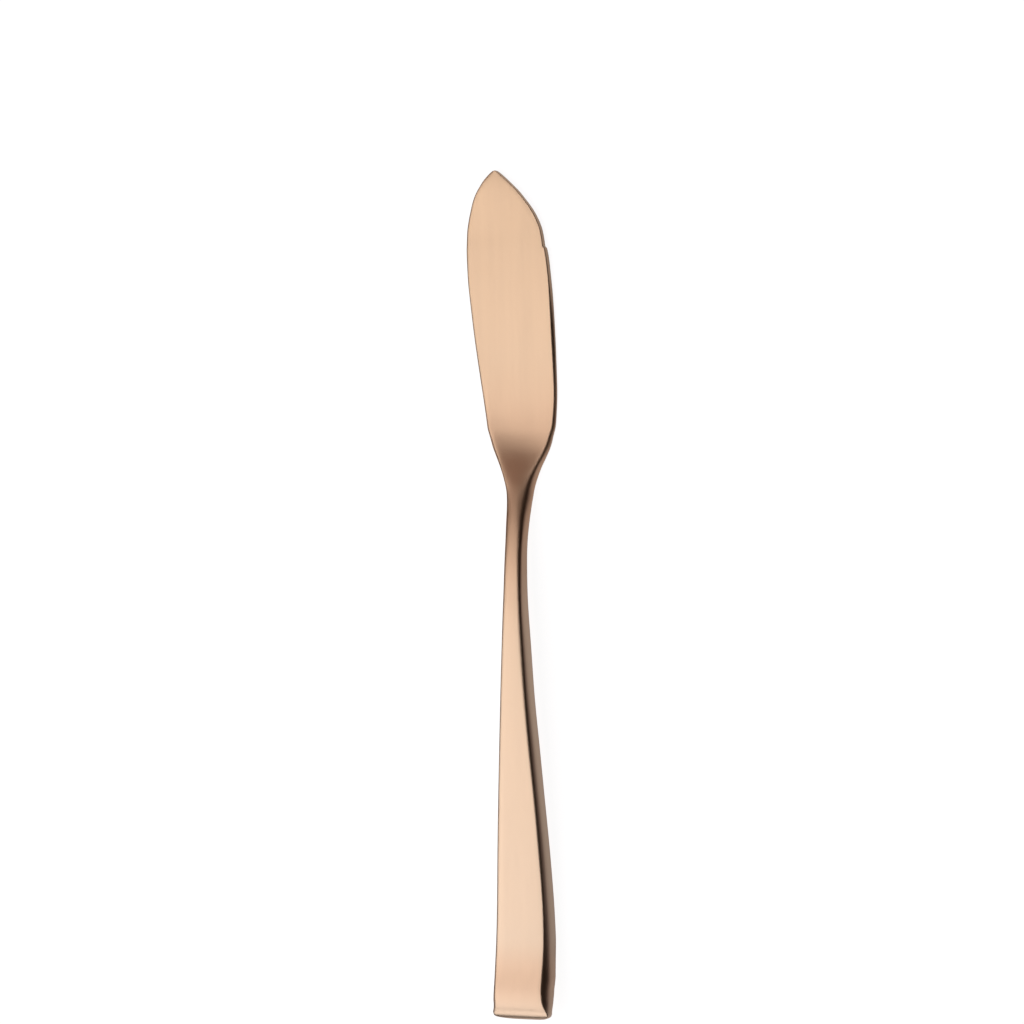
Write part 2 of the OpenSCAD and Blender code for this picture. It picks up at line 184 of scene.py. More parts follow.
# %% Tables of borders, ridges and the notch
# left border: width of its bevel, height of the face beside it and height of its foot as
# shares of the face's height, height of the widest line as a share of the right one
left_border = [
    [0, 0.015, 1, 0.97, 1], [0.6, 0.015, 1, 0.96, 1], [0.6114, 0.018, 1, 0.95, 1],
    [0.6232, 0.027, 0.995, 0.92, 0.95], [0.635, 0.037, 0.985, 0.87, 0.88],
    [0.6468, 0.048, 0.975, 0.79, 0.8], [0.6586, 0.051, 0.965, 0.69, 0.7],
    [0.6704, 0.045, 0.945, 0.6, 0.6], [0.6821, 0.036, 0.91, 0.53, 0.5],
    [0.694, 0.028, 0.86, 0.52, 0.42], [0.71, 0.024, 0.79, 0.46, 0.36],
    [0.73, 0.021, 0.72, 0.4, 0.32], [0.75, 0.02, 0.65, 0.36, 0.3], [0.8, 0.019, 0.5, 0.31, 0.3],
    [0.85, 0.019, 0.44, 0.3, 0.3], [0.92, 0.019, 0.44, 0.3, 0.3], [0.94, 0.018, 0.5, 0.34, 0.4],
    [0.965, 0.016, 0.65, 0.5, 0.5], [0.985, 0.012, 0.83, 0.7, 0.7],
    [0.999, 0.006, 0.95, 0.85, 0.8]]
# the ridge that parts the right side in two: share of the flare and of the drop above it
ridges = [
    [0, 0.9, 0.3], [0.02, 0.95, 0.3], [0.04, 0.96, 0.3], [0.07, 0.96, 0.3], [0.1, 0.96, 0.3],
    [0.14, 0.96, 0.3], [0.26, 0.97, 0.29], [0.375, 0.96, 0.285], [0.49, 0.85, 0.225],
    [0.57, 0.7, 0.175], [0.6, 0.54, 0.155], [0.62, 0.52, 0.16], [0.65, 0.5, 0.24],
    [0.68, 0.48, 0.33], [0.7, 0.52, 0.4], [0.73, 0.65, 0.5], [0.78, 0.9, 0.65],
    [0.82, 0.97, 0.7], [0.9, 0.97, 0.7], [0.92, 0.97, 0.56], [1, 0.97, 0.6]]
# rise of the face in its middle, mm
crowns = [
    [0, 0.03], [0.5, 0.03], [0.57, 0.07], [0.6, 0.12], [0.625, 0.13], [0.64, 0.1],
    [0.655, 0.06], [0.67, 0.03], [0.69, 0.01], [0.72, 0.02], [1, 0.02]]
# how far the right edge of the face lies below the height that the leans give, mm
slumps = [
    [0, 0], [0.57, 0], [0.6, 0.08], [0.625, 0.22], [0.65, 0.4], [0.67, 0.46], [0.7, 0.4],
    [0.76, 0.22], [0.84, 0.06], [0.9, 0], [1, 0]]
# depth of the notch that is filed into the back of the blade, mm
notch = [
    [0, 0], [0.9, 0], [0.9038, 0], [0.9052, 0.08], [0.9064, 0.27], [0.9076, 0.34],
    [0.914, 0.28], [0.93, 0.14], [0.95, 0.03], [0.965, 0], [1, 0]]
# how far the face's right edge is softened, on the face and on the side, mm
softness = [
    [0, 0.35, 0.25], [0.03, 0.4, 0.3], [0.1, 0.35, 0.35], [0.2, 0.5, 0.4], [0.375, 0.8, 0.4],
    [0.49, 1.2, 0.4], [0.54, 1.2, 0.35], [0.58, 1.2, 0.3], [0.605, 1.3, 0.3],
    [0.623, 1.4, 0.3], [0.65, 1.2, 0.3], [0.67, 0.8, 0.25], [0.7, 0.35, 0.2],
    [0.8, 0.35, 0.25], [0.9, 0.3, 0.2], [1, 0.15, 0.1]]
print("deepest place of the notch in mm:", max(depth for _, depth in notch))

# %% [markdown]
# ## Reading a template
# Between the rows of a table the curve has to be smooth, or the metal would show a kink in
# its highlight at every row. So each stretch is a cubic that leaves one row and reaches the
# next with the slope of their neighbours. The height of the face is its lean added up, from
# many small steps, and set so that its crest has the knife's height.

# %% Read the templates
READINGS = 8001


def ease(u):
    """A smooth step from 0 to 1."""
    return u * u * (3 - u - u)


def template(table, s, column):
    """The smooth curve through one column of a table, read at the places s."""
    t = np.array(table, float)
    x, v = t[:, 0], t[:, column]
    i = np.clip(np.searchsorted(x, s, side="right") - 1, 0, len(x) - 2)
    steep = np.empty(len(x))
    steep[1:-1] = (v[2:] - v[:-2]) / (x[2:] - x[:-2])
    steep[0] = (v[1] - v[0]) / (x[1] - x[0])
    steep[-1] = (v[-1] - v[-2]) / (x[-1] - x[-2])
    h = x[i + 1] - x[i]
    u = (s - x[i]) / h
    return (v[i] * ease(1 - u) + v[i + 1] * ease(u)
            + steep[i] * h * u * (1 - u) ** 2 - steep[i + 1] * h * u * u * (1 - u))


dense = np.linspace(0, 1, READINGS)
fall = np.tan(np.radians(template(leans, dense, 1))) * LENGTH / (READINGS - 1)
face_z = HEIGHT + np.concatenate([[0], -np.cumsum((fall[1:] + fall[:-1]) / 2)])
face_z -= face_z.max() - HEIGHT


def face_height(s):
    """Height of the face: its lean added up from the crest, so that light glides along it."""
    return np.interp(s, dense, face_z)


print("face over the table in mm:", [round(v / MM, 2) for v in (face_z.min(), face_z.max())])

# %% [markdown]
# ## One rule for every cross section
# Cut anywhere, the knife shows the same kind of outline: a polygon whose corners are rounded.
# From the widest line on the left it goes up the side over a ridge to the edge of the face,
# across the face, and down the other side in the same way. The rounded back closes it.
# Each corner is kept with the two points where its rounding begins and ends, so that one set
# of curves serves the handle, the neck and the blade, and no seam can show between them.

# %% Corners of the cross sections
HAIR, TINY = 0.001 * MM, 1e-9
# places along the knife: ends of the neck, mouth of the handle, tip
NECK_START, NECK_END, MOUTH, TIP = 0.6, 0.68, 0.605, 0.9995
# where the handle's small bevel starts to turn into the blade's border, and for how long
BORDER_START, BORDER_RUN = 0.6, 0.094
# flat share of the back, under the handle and under the blade
FLAT_HANDLE, FLAT_BLADE = 0.45, 0.985
# how high on each side its lowest corner lies, between the widest line and the ridge
LOW_SIDE = 0.25
# how much of the sides of a corner its rounding takes
HALF, NEARLY_ALL, SOFT_MIDDLE, MOST_OF_FACE = 0.5, 0.98, 0.55, 0.4
# how the face sags between its middle and a lower left edge
SAG_POWER = 0.6


def blade_part(s):
    """0 in the handle, 1 in the blade."""
    return ease(np.clip((s - NECK_START) / (NECK_END - NECK_START), 0, 1))


def between(a, b, share):
    """The value or point that lies this share of the way from a to b."""
    return a + (b - a) * share


def rounded(before, corner, after, start, end):
    """A corner with the points where its rounding starts and ends, as shares of its two sides."""
    return np.stack([between(corner, before, start), corner, between(corner, after, end)], 1)


def share_of(length, a, b, most):
    """A length as a share of the way from a to b, and no more than most."""
    return np.minimum(length / np.maximum(np.linalg.norm(b - a, axis=1), TINY), most)[:, None]


def outline(s, wall=0.0):
    """The upper and the lower chain of corners at the places s; wall is taken away inside."""
    part = blade_part(s)
    wide = between(HANDLE_WIDTH, BLADE_WIDTH, part)
    high = between(HEIGHT, BLADE_THICKNESS, part)
    thin = ease(np.clip((s - BORDER_START) / BORDER_RUN, 0, 1))
    y = (s - 0.5) * LENGTH

    def point(x, z):
        return np.stack([(x - centre_x) * squeeze, y, z], 1)

    # the face and the widest line
    x_left = template(face_edges, s, 1) * wide + wall
    x_right = template(face_edges, s, 2) * wide - wall
    top = face_height(s) - wall
    wide_z = template(heights, s, 1) * high
    left_z = template(left_border, s, 4) * wide_z
    out_left = template(flares, s, 1) * wide
    out_right = template(flares, s, 2) * wide
    wide_left, wide_right = point(x_left - out_left, left_z), point(x_right + out_right, wide_z)

    # the left side: a small bevel in the handle, a ground border in the blade
    bevel = template(left_border, s, 1) * wide
    beside, foot = template(left_border, s, 2) * top, template(left_border, s, 3) * top
    face_left = point(x_left + bevel * thin, between(top, beside, thin))
    ridge_left = point(x_left - np.minimum(BEVEL_OUT, out_left) * (1 - thin),
                       between(top - BEVEL_DOWN, foot, thin))
    low_left = point(x_left - out_left, between(left_z, ridge_left[:, 2], LOW_SIDE))

    # the right side: a steep strip under the face, the ridge and a rounded flank
    top_right = top - template(slumps, s, 1) * MM
    ridge_out, ridge_down = template(ridges, s, 1), template(ridges, s, 2)
    face_right = point(x_right, top_right)
    ridge_right = point(x_right + out_right * ridge_out, between(top_right, wide_z, ridge_down))
    low_right = point(x_right + out_right, between(wide_z, ridge_right[:, 2], LOW_SIDE))

    # the middle of the face, raised by its crown
    power = between(SAG_POWER, 1, face_left[:, 2] / np.maximum(top, TINY))
    sag = (top - face_left[:, 2]) * (0.5 ** power - 0.5) / 2 + template(crowns, s, 1) * MM
    face_middle = (face_left + face_right) / 2 + np.outer(2 * sag, [0, 0, 1])

    # the back
    back_z = np.maximum(HAIR, template(heights, s, 2) * high) + wall
    back_right = point(x_right + out_right, back_z)
    back_left = point(x_left - out_left, back_z)
    turn_share = ((1 - between(FLAT_HANDLE, FLAT_BLADE, part)) / 2)[:, None]

    on_face, on_side = template(softness, s, 1) * MM, template(softness, s, 2) * MM
    upper = [
        rounded(wide_left, wide_left, wide_left, 0, 0),
        rounded(wide_left, low_left, ridge_left, NEARLY_ALL, HALF),
        rounded(low_left, ridge_left, face_left, HALF, HALF),
        rounded(ridge_left, face_left, face_middle,
                share_of(on_side, face_left, ridge_left, HALF),
                share_of(BEVEL_SOFT, face_left, face_middle, MOST_OF_FACE)),
        rounded(face_left, face_middle, face_right, SOFT_MIDDLE, SOFT_MIDDLE),
        rounded(face_middle, face_right, ridge_right,
                share_of(on_face, face_right, face_middle, MOST_OF_FACE),
                share_of(on_side, face_right, ridge_right, HALF)),
        rounded(face_right, ridge_right, low_right, HALF, HALF),
        rounded(ridge_right, low_right, wide_right, HALF, NEARLY_ALL),
        rounded(wide_right, wide_right, wide_right, 0, 0)]
    lower = [
        rounded(wide_right, wide_right, wide_right, 0, 0),
        rounded(wide_right, back_right, back_left, NEARLY_ALL, turn_share),
        rounded(back_right, back_left, wide_left, turn_share, NEARLY_ALL),
        rounded(wide_left, wide_left, wide_left, 0, 0)]
    return np.stack(upper, 1), np.stack(lower, 1)


# the widths are set about their middle, and kept a hair inside the CAD box
centre_x, squeeze = 0.0, 1.0
sides = outline(np.linspace(0.0, TIP, 4000))[0]
leftmost, rightmost = sides[:, 0, 1, 0].min(), sides[:, -1, 1, 0].max()
centre_x = (leftmost + rightmost) / 2
squeeze = min(1, (cad_high[0] - HAIR) * 2 / (rightmost - leftmost))
print("middle of the widths, mm:", round(centre_x / MM, 3), "squeezed to", round(squeeze, 4))

# %% [markdown]
# ## A small helper for node trees
# Both the skins and the finishes are node trees. Sums read best as sums, so a socket is
# wrapped in a class that turns + - * / into Math or Vector Math nodes, and every other node
# comes from one method that takes its type, its settings and its sockets.

# %% Sockets that can be added and multiplied
class Wire:
    """An output socket that adds a Math node for each operator used on it."""

    def __init__(self, board, socket):
        self.board, self.socket = board, socket

    def sum_with(self, kind, a, b):
        """One Math node for two numbers, or one Vector Math node where a vector takes part."""
        vectors = [isinstance(v, Wire) and v.socket.type == "VECTOR" for v in (a, b)]
        if not any(vectors):
            return self.board.add("ShaderNodeMath", {"operation": kind}, {0: a, 1: b})
        if kind == "MULTIPLY" and not all(vectors):
            v, f = (a, b) if vectors[0] else (b, a)
            return self.board.add("ShaderNodeVectorMath", {"operation": "SCALE"},
                                  {0: v, "Scale": f})
        return self.board.add("ShaderNodeVectorMath", {"operation": kind}, {0: a, 1: b})

    def __add__(self, other):
        return self.sum_with("ADD", self, other)

    def __radd__(self, other):
        return self.sum_with("ADD", other, self)

    def __sub__(self, other):
        return self.sum_with("SUBTRACT", self, other)

    def __rsub__(self, other):
        return self.sum_with("SUBTRACT", other, self)

    def __mul__(self, other):
        return self.sum_with("MULTIPLY", self, other)

    def __rmul__(self, other):
        return self.sum_with("MULTIPLY", other, self)

    def __truediv__(self, other):
        return self.sum_with("DIVIDE", self, other)

    def __rtruediv__(self, other):
        return self.sum_with("DIVIDE", other, self)

    def clamped(self):
        """The value kept between 0 and 1."""
        return self.board.add("ShaderNodeClamp", {}, {"Value": self})

    def floored(self):
        """The whole number below the value."""
        return self.board.add("ShaderNodeMath", {"operation": "FLOOR"}, {0: self})


class Board:
    """A node tree with one way to add a node."""

    def __init__(self, tree):
        self.tree = tree

    def add(self, kind, settings=None, sockets=None, out=0):
        """A new node of this kind; given back is its output number out, ready for sums."""
        node = self.tree.nodes.new(kind)
        for name, value in (settings or {}).items():
            setattr(node, name, value)
        for name, value in (sockets or {}).items():
            if isinstance(value, Wire):
                self.tree.links.new(value.socket, node.inputs[name])
            else:
                node.inputs[name].default_value = value
        return Wire(self, node.outputs[out])


print("sockets can be added, subtracted, multiplied and divided")

# %% [markdown]
# ## The skin as Geometry Nodes
# The knife is ruled by its sections, so its skin is made by a rule too: a grid with one row
# for each section is laid over the rounded polygons. Each row of the grid reads the corners
# of its section from the rail, a string of points that carries them as attributes, and walks
# round them: a curve at each corner, then a straight run to the next one. All the walks add
# up to the place of a point. Where a row is folded onto itself the merged points close the end.

# %% Build the skin tree
CORNER_STEPS, STRAIGHT_STEPS, MERGED = 5, 2, 0.002 * MM


def skin_tree(name, corners):
    """A tree that lays a skin over a rail of sections with this many corners."""
    tree = bpy.data.node_groups.new(name, "GeometryNodeTree")
    face = tree.interface
    face.new_socket("Geometry", in_out="OUTPUT", socket_type="NodeSocketGeometry")
    face.new_socket("Geometry", in_out="INPUT", socket_type="NodeSocketGeometry")
    for label, value in (("Steps round a corner", CORNER_STEPS),
                         ("Steps on a straight", STRAIGHT_STEPS)):
        socket = face.new_socket(label, in_out="INPUT", socket_type="NodeSocketInt")
        socket.default_value, socket.min_value = value, 1
    socket = face.new_socket("Merge distance", in_out="INPUT", socket_type="NodeSocketFloat")
    socket.default_value = MERGED
    face.new_socket("Finish", in_out="INPUT", socket_type="NodeSocketMaterial")

    b = Board(tree)
    given = tree.nodes.new("NodeGroupInput")
    rail = Wire(b, given.outputs["Geometry"])
    bend = Wire(b, given.outputs["Steps round a corner"])
    run = Wire(b, given.outputs["Steps on a straight"])
    rows = b.add("GeometryNodeAttributeDomainSize", {"component": "MESH"}, {"Geometry": rail})
    columns = (bend + run) * corners + 1
    sheet = b.add("GeometryNodeMeshGrid", {}, {"Vertices X": rows, "Vertices Y": columns})
    index = b.add("GeometryNodeInputIndex")
    row = (index / columns).floored()
    place = index - row * columns

    def read(label, corner):
        """One point of a corner, read from the rail's point of this row."""
        value = b.add("GeometryNodeInputNamedAttribute", {"data_type": "FLOAT_VECTOR"},
                      {"Name": f"{label} {corner % corners}"})
        return b.add("GeometryNodeSampleIndex", {"data_type": "FLOAT_VECTOR", "domain": "POINT"},
                     {"Geometry": rail, "Value": value, "Index": row})

    into = [read("into", k) for k in range(corners)]
    at = [read("at", k) for k in range(corners)]
    out = [read("out", k) for k in range(corners)]
    walk = into[0]
    for k in range(corners):
        start = (bend + run) * k
        u = ((place - start) / bend).clamped()
        walk = walk + (at[k] - into[k]) * (u * (1 - u) * 2) + (out[k] - into[k]) * (u * u)
        u = ((place - start - bend) / run).clamped()
        walk = walk + (into[(k + 1) % corners] - out[k]) * u

    skin = b.add("GeometryNodeSetPosition", {}, {"Geometry": sheet, "Position": walk})
    skin = b.add("GeometryNodeMergeByDistance", {},
                 {"Geometry": skin, "Distance": Wire(b, given.outputs["Merge distance"])})
    skin = b.add("GeometryNodeFlipFaces", {}, {"Mesh": skin})
    skin = b.add("GeometryNodeSetShadeSmooth", {}, {"Geometry": skin})
    skin = b.add("GeometryNodeRealizeInstances", {}, {"Geometry": skin})
    skin = b.add("GeometryNodeSetMaterial", {},
                 {"Geometry": skin, "Material": Wire(b, given.outputs["Finish"])})
    result = tree.nodes.new("NodeGroupOutput")
    tree.links.new(skin.socket, result.inputs["Geometry"])
    print(name, "has", len(tree.nodes), "nodes")
    return tree


print("a tree for any number of corners")

# %% [markdown]
# ## From a rail to a plain mesh
# The rail is a mesh of loose points that only carry numbers. The tree dresses it, and the
# dressed form is then taken over as a plain mesh, because only that can be exported. Edges
# that turn by more than 40 degrees stay crisp, all others are shaded smooth.

# %% Dress a rail
CRISP = math.radians(40)


def rail_object(name, rings):
    """A string of points, one for each section.

    The rings are numbered by section, by corner, by its three points (into, at, out), and by
    x, y and z.
    """
    mesh = bpy.data.meshes.new(name)
    mesh.from_pydata([tuple(r) for r in rings[:, 0, 1]], [], [])
    for k in range(rings.shape[1]):
        for j, label in enumerate(("into", "at", "out")):
            field = mesh.attributes.new(f"{label} {k}", "FLOAT_VECTOR", "POINT")
            field.data.foreach_set("vector", rings[:, k, j].astype(np.float32).ravel())
    made = bpy.data.objects.new(name, mesh)
    bpy.context.scene.collection.objects.link(made)
    return made


def skinned(name, rings, finish, corner_steps):
    """The finished piece: the rail dressed by the tree, turned into a plain mesh."""
    made = rail_object(name, rings)
    dress = made.modifiers.new("skin", "NODES")
    dress.node_group = skin_tree(name + "_skin", rings.shape[1])
    inputs = {i.name: i.identifier for i in dress.node_group.interface.items_tree
              if i.item_type == "SOCKET" and i.in_out == "INPUT"}
    dress[inputs["Steps round a corner"]] = corner_steps
    dress[inputs["Finish"]] = finish
    made.data.update()
    graph = bpy.context.evaluated_depsgraph_get()
    plain = bpy.data.meshes.new_from_object(made.evaluated_get(graph),
                                            preserve_all_data_layers=True, depsgraph=graph)
    made.modifiers.clear()
    made.data = plain
    plain.materials.clear()
    plain.materials.append(finish)
    plain.polygons.foreach_set("material_index", np.zeros(len(plain.polygons), np.int32))
    plain.set_sharp_from_angle(angle=CRISP)
    print(name, len(plain.polygons), "faces, materials", [m.name for m in plain.materials])
    return made


print("ready to dress a rail")

# %% [markdown]
# ## Rose gold finish
# The steel carries a thin rose gold coating, and before coating it was brushed lengthwise
# with a fine belt. Such a surface mirrors softly, and more widely across the brushing than
# along it. The Principled shader's anisotropy does that widening. Noise stretched along the
# knife then gives the faint streaks in colour, gloss and height that a lens can still see.

# %% Noise along the brushing
# which socket is meant: Object coordinates, the y of a place, the two colours and the mix
OBJECT, Y, COLOUR_A, COLOUR_B, MIXED = 3, 1, 6, 7, 2
# how often the noise changes in a metre across, along and above the knife
STREAK_RATE, BAND_RATE, CLOUD_RATE = (5200, 26, 5200), (900, 9, 900), 160.0


def finish_board(name):
    """A new material with its Principled shader, ready to be wired."""
    material = bpy.data.materials.new(name)
    material.use_nodes = True
    board = Board(material.node_tree)
    shader = next(n for n in material.node_tree.nodes if n.type == "BSDF_PRINCIPLED")
    return material, board, shader


rose_gold, b, steel = finish_board("rose_gold_brushed")
where = b.add("ShaderNodeTexCoord", out=OBJECT)


def noise(place, rate, detail):
    """Noise of one size in all directions; its middle value is 0.5."""
    return b.add("ShaderNodeTexNoise", {}, {"Vector": place, "Scale": rate, "Detail": detail})


def brushed_noise(rates, detail):
    """Noise that is stretched along the knife."""
    lanes = b.add("ShaderNodeMapping", {}, {"Vector": where, "Scale": rates})
    return noise(lanes, 1.0, detail)


streaks, bands = brushed_noise(STREAK_RATE, 3.0), brushed_noise(BAND_RATE, 2.0)
cloud = noise(where, CLOUD_RATE, 2.0)
off_streaks, off_bands, off_cloud = (n - 0.5 for n in (streaks, bands, cloud))
print("noise nodes:", len(b.tree.nodes))

# %% [markdown]
# ## Colour of the rose gold
# The coating is a little paler at the handle's end and deeper in colour at the tip. Where the
# face dips before that end, and in the neck, the face mirrors dim surroundings, and a redder,
# darker gold is painted there as painted shade. Each such patch is 1 at its place and fades
# softly, so no edge of it can be seen.

# %% Mix the rose gold
PALE_GOLD, DEEP_GOLD = (0.9, 0.675, 0.51, 1), (0.9, 0.61, 0.4, 1)
# a redder, darker gold: painted shade where the face mirrors dim surroundings
SHADE_RED_GOLD = (0.87, 0.53, 0.345, 1)
# middle of each painted shade patch as a share of the length, how fast it fades, how red it is
NECK_SHADE_PATCH, DIP_SHADE_PATCH = (0.61, 5.5, 0.85), (0.047, 20, 0.5)
ROUGHNESS, RELIEF = 0.34, 0.02 * MM

along = b.add("ShaderNodeSeparateXYZ", {}, {"Vector": where}, out=Y)
to_tip = (along / LENGTH + 0.5).clamped()


def shade_patch(middle, fade, strength):
    """A soft patch of painted shade of this strength about one place along the knife."""
    away = (to_tip - middle) * fade
    near = (1 - away * away).clamped()
    return near * near * strength


pale = off_streaks * 0.12 + off_bands * 0.1 + off_cloud * 0.1 + 0.95 - 0.85 * to_tip
long_tint = b.add("ShaderNodeMix", {"data_type": "RGBA"},
                  {"Factor": pale.clamped(), COLOUR_A: DEEP_GOLD, COLOUR_B: PALE_GOLD}, out=MIXED)
# painted shade: the redder gold is mixed in at the neck and at the dip before the handle's end
base = b.add("ShaderNodeMix", {"data_type": "RGBA"},
             {"Factor": shade_patch(*NECK_SHADE_PATCH) + shade_patch(*DIP_SHADE_PATCH), COLOUR_A: long_tint,
              COLOUR_B: SHADE_RED_GOLD}, out=MIXED)
gloss = ROUGHNESS + off_streaks * 0.06 + off_bands * 0.04
height = b.add("ShaderNodeBump", {}, {"Height": streaks, "Strength": 0.12, "Distance": RELIEF})
b.tree.links.new(base.socket, steel.inputs["Base Color"])
b.tree.links.new(gloss.socket, steel.inputs["Roughness"])
b.tree.links.new(height.socket, steel.inputs["Normal"])
steel.inputs["Metallic"].default_value = 1
steel.inputs["Anisotropic"].default_value = 0.5
print("rose gold nodes:", len(b.tree.nodes))

# %% [markdown]
# ## The blade with its tang
# Blade, shoulder and neck are one forging, and a thin tang runs on into the handle. The
# sections lie closer together where the outline turns quickly: at the small notch in the
# back and at the tip, where they shrink to nothing. The tang is the neck's own
# section made small.

# %% Place the sections
# the stretch with the notch, and the distance of the sections outside and inside it
NICK, STEP, FINE_STEP = (0.902, 0.911), 0.0022, 0.0004
POINT_ROWS, TANG_ROWS = 70, 30
# the last stretch, over which the tip is rounded off
TIP_ROUND = 0.0009
# which of the corners and of their points is meant
FACE_MIDDLE, FACE_RIGHT, BACK_RIGHT, AT, OUT = 4, 5, 9, 1, 2


def whole_rings(s):
    """All corners once round the knife at the places s."""
    upper, lower = outline(s)
    return np.concatenate([upper, lower[:, 1:3]], 1)


def centres(rings):
    """The middle of each ring."""
    return (rings[:, :, AT].min(1) + rings[:, :, AT].max(1)) / 2


def shrunk(rings, onto, k):
    """Rings made smaller by k about their own middle, and moved so that it lies at onto."""
    k = np.broadcast_to(k, len(rings))[:, None, None, None]
    return onto[:, None, None] + (rings - centres(rings)[:, None, None]) * k


blade_s = np.concatenate([
    np.arange(MOUTH, NICK[0], STEP), np.arange(*NICK, FINE_STEP),
    NICK[1] + (TIP - NICK[1]) * np.sin(np.linspace(0, math.pi / 2, POINT_ROWS))])
rings = whole_rings(blade_s)
print("sections of the blade:", len(rings))

# %% [markdown]
# ## Notch, tip and tang
# The notch is filed into the right side only, so the corners from the face's right edge down
# to the back move inwards there, and the lower ones of them stay level. At the tip the
# sections shrink along a quarter circle. The tang follows the middle of the handle.

# %% Make the blade
inwards = rings[:, FACE_MIDDLE, OUT] - rings[:, FACE_RIGHT, AT]
inwards /= np.linalg.norm(inwards, axis=1)[:, None]
moved = inwards * template(notch, blade_s, 1)[:, None] * MM
filed = np.repeat(moved[:, None, None], BACK_RIGHT + 1 - FACE_RIGHT, 1)
filed[:, 2:, :, 2] = 0  # from the third corner down, nothing moves up or down
rings[:, FACE_RIGHT:BACK_RIGHT + 1] += filed

near = np.clip((blade_s - (TIP - TIP_ROUND)) / TIP_ROUND, 0, 1)
rings = shrunk(rings, centres(rings), np.sqrt(np.maximum(1 - near ** 2, 0)))
tang_s = np.linspace(MOUTH - TANG_LENGTH / LENGTH, MOUTH, TANG_ROWS)
neck = np.repeat(whole_rings(np.array([MOUTH])), TANG_ROWS, 0)
path = centres(whole_rings(tang_s))
tang = shrunk(neck, path, TANG_WIDTH / np.ptp(neck[0, :, AT, 0]))
rings = np.concatenate([shrunk(tang[:1], path[:1], 0.0), tang, rings])
blade = skinned("blade_forged", rings, rose_gold, corner_steps=6)
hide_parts("blade")
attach(blade, "root")

# %% [markdown]
# ## The two half shells of the handle
# The handle is hollow: a front and a back half are pressed from thin sheet, brazed along
# their widest line and polished until no seam shows. Each shell is walked all round: over its
# outside, back along its inside. Towards the end of the handle the inside lies flat on the
# joint, so the flared end is solid.

# %% Make the shells
# start of the shells, end of the flared stretch, end of the hollow
SHELL_START, FLARE_END, HOLLOW_END = 0.00002, 0.03, 0.046
end_s = np.concatenate([np.linspace(SHELL_START, FLARE_END, 60),
                        np.linspace(FLARE_END, HOLLOW_END, 16)[1:]])
hollow_s = np.linspace(HOLLOW_END, MOUTH, 240)
shell_s = np.concatenate([end_s, hollow_s])


def shell_rings(chain):
    """Outer chain forwards and inner chain backwards, with both ends folded shut."""
    outer = outline(shell_s)[chain]
    inner = outline(shell_s, WALL)[chain]
    inner[:len(end_s), :, :, 2] = inner[:len(end_s), :1, 1:2, 2]
    backwards = inner[:, ::-1, ::-1]
    rings = np.concatenate([outer, backwards], 1)
    folded = np.concatenate([inner, backwards], 1)
    return np.concatenate([folded[:1], rings, folded[-1:]])


front_shell = skinned("handle_front_pressed", shell_rings(0), rose_gold, corner_steps=4)
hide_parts("handle_front_shell")
back_shell = skinned("handle_back_pressed", shell_rings(1), rose_gold, corner_steps=6)
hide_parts("handle_back_shell")
for shell in (front_shell, back_shell):
    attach(shell, "root")

# %% [markdown]
# ## Direction of the brushing
# Cycles takes the direction of an anisotropic finish from the mesh's texture space. With its
# centre moved far away along the knife, that direction runs straight across the knife
# everywhere, which is how a lengthwise brushed surface spreads the light.

# %% Turn the texture space
FAR_AWAY = 40
for piece in (blade, front_shell, back_shell):
    piece.data.use_auto_texspace = False
    piece.data.texspace_location = (0, -FAR_AWAY, 0)
    piece.data.texspace_size = (1, 1, 1)
print("texture space turned on 3 pieces")

# %% [markdown]
# ## Cement
# The CAD node of the cement stays as it is, inside the handle, and only gets its finish: a
# dull grey filler with grains and small pores.

# %% Mix the cement
DARK_GREY, PALE_GREY = (0.26, 0.25, 0.22, 1), (0.42, 0.40, 0.36, 1)
cement, b, paste = finish_board("filler_cement")
where = b.add("ShaderNodeTexCoord", out=OBJECT)
grains = noise(where, 2600.0, 5.0)
pores = b.add("ShaderNodeTexVoronoi", {}, {"Vector": where, "Scale": 900.0})
tint = b.add("ShaderNodeMix", {"data_type": "RGBA"},
             {"Factor": grains, COLOUR_A: DARK_GREY, COLOUR_B: PALE_GREY}, out=MIXED)
b.tree.links.new(tint.socket, paste.inputs["Base Color"])
paste.inputs["Roughness"].default_value = 0.9
pits = b.add("ShaderNodeBump", {}, {"Height": grains * 0.4 + pores, "Strength": 0.4,
                                    "Distance": 0.1 * MM})
b.tree.links.new(pits.socket, paste.inputs["Normal"])
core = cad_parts["handle_core"]
core.data.materials.clear()
core.data.materials.append(cement)
print("cement on", core.name)

# %% [markdown]
# ## Floor
# The knife lies on a white table. Its white comes from its own glow, which the camera sees,
# and which lights nothing: so the metal's side stays as dark as it would be among dark walls.
# The metal mirrors a part of the glow close to the knife only. The floor's own colour is dark
# and a little pink, and takes the knife's soft shadow.

# %% Lay the floor
TABLE_HALF, GAP = 3.0, 0.02 * MM
FLOOR_COLOUR = (0.33, 0.29, 0.3, 1)
# strength of the glow, of what metal mirrors of it, and how far from the knife it does so
GLOW, MIRRORED, REACH = 0.94, 0.36, 22 * MM

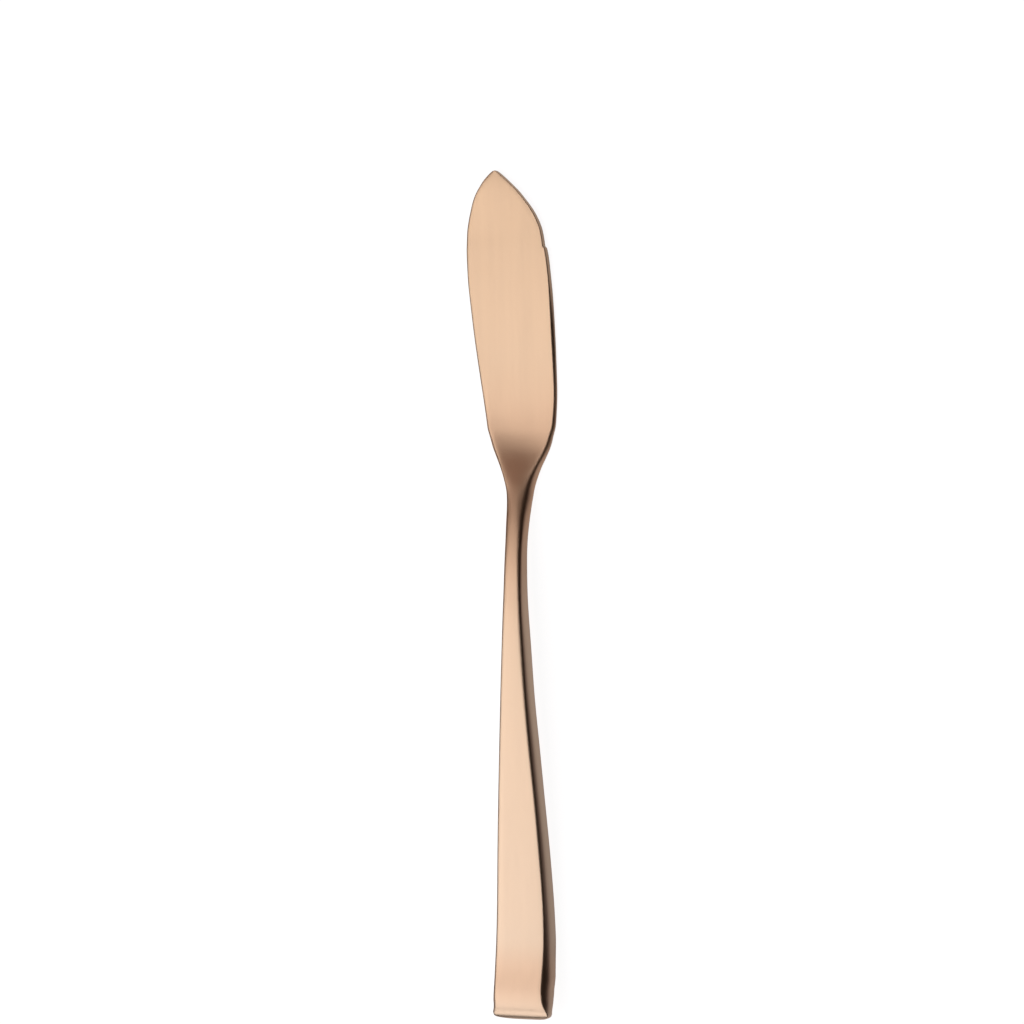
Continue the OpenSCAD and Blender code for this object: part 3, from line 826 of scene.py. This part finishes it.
floor_mesh = bpy.data.meshes.new("table_top")
signs = ((-1, -1), (1, -1), (1, 1), (-1, 1))
floor_mesh.from_pydata([(x * TABLE_HALF, y * TABLE_HALF, 0) for x, y in signs], [],
                       [(0, 1, 2, 3)])
floor = bpy.data.objects.new("table_top", floor_mesh)
floor.location.z = -GAP
bpy.context.scene.collection.objects.link(floor)
white, b, paint = finish_board("white_table")
paint.inputs["Base Color"].default_value = FLOOR_COLOUR
paint.inputs["Roughness"].default_value = 0.9
paint.inputs["Specular IOR Level"].default_value = 0.0
light_path = b.tree.nodes.new("ShaderNodeLightPath")
by_camera, by_gloss, by_glass = (
    Wire(b, light_path.outputs[n])
    for n in ("Is Camera Ray", "Is Glossy Ray", "Is Transmission Ray"))
place = b.add("ShaderNodeTexCoord", out=OBJECT)
across = b.add("ShaderNodeSeparateXYZ", {}, {"Vector": place}) / REACH
nearby = (1 - across * across).clamped()
strength = (by_camera + by_glass).clamped() * GLOW + by_gloss * nearby * MIRRORED
glow = b.add("ShaderNodeEmission", {}, {"Strength": strength})
both = b.add("ShaderNodeAddShader", {}, {0: Wire(b, paint.outputs[0]), 1: glow})
surface = next(n for n in b.tree.nodes if n.type == "OUTPUT_MATERIAL")
b.tree.links.new(both.socket, surface.inputs["Surface"])
floor.data.materials.append(white)
print("floor glows with", GLOW, "and metal sees", MIRRORED)

# %% [markdown]
# ## Lamps and room
# A metal surface shows what it mirrors, so the lamps are large soft faces. The soft box hangs
# over the left side of the knife and ends just beyond its tip: the face mirrors it and glows.
# The neck leans towards the tip, so it mirrors what lies beyond the box, which is only a dim
# warm card. A low card in front lights the handle's end, where the face turns to it. The room
# on the right stays dark, so the knife's right side is dark too.

# %% Hang the lamps
WARM_CARD, WARM_ROOM, ROOM_STRENGTH = (1, 0.6, 0.48), (1, 0.72, 0.55, 1), 0.008


def lamp(name, place, towards, size, strength):
    """A soft rectangular lamp; strength is the brightness of its face."""
    data = bpy.data.lights.new(name, "AREA")
    data.shape = "RECTANGLE"
    data.size, data.size_y = size
    data.energy = strength * math.pi * size[0] * size[1]
    made = bpy.data.objects.new(name, data)
    bpy.context.scene.collection.objects.link(made)
    made.location = place
    made.rotation_euler = (Vector(towards) - Vector(place)).to_track_quat("-Z", "Y").to_euler()
    return made


lamp("soft_box", (-1.095, -0.47, 1.3), (-1.095, -0.47, 0), (1.87, 1.67), 1.25)
lamp("front_card", (-0.8, -1.4, 0.8), (-0.8, 0, 0.8), (1.7, 0.92), 1.2)
dim = lamp("dim_card", (-0.95, 0.95, 0.8), (-0.95, 0, 0.0), (1.7, 1.3), 0.22)
dim.data.color = WARM_CARD

scene = bpy.context.scene
scene.world = bpy.data.worlds.new("dim_room")
scene.world.use_nodes = True
sky = scene.world.node_tree.nodes["Background"]
sky.inputs["Color"].default_value = WARM_ROOM
sky.inputs["Strength"].default_value = ROOM_STRENGTH
scene.view_settings.view_transform = "Standard"
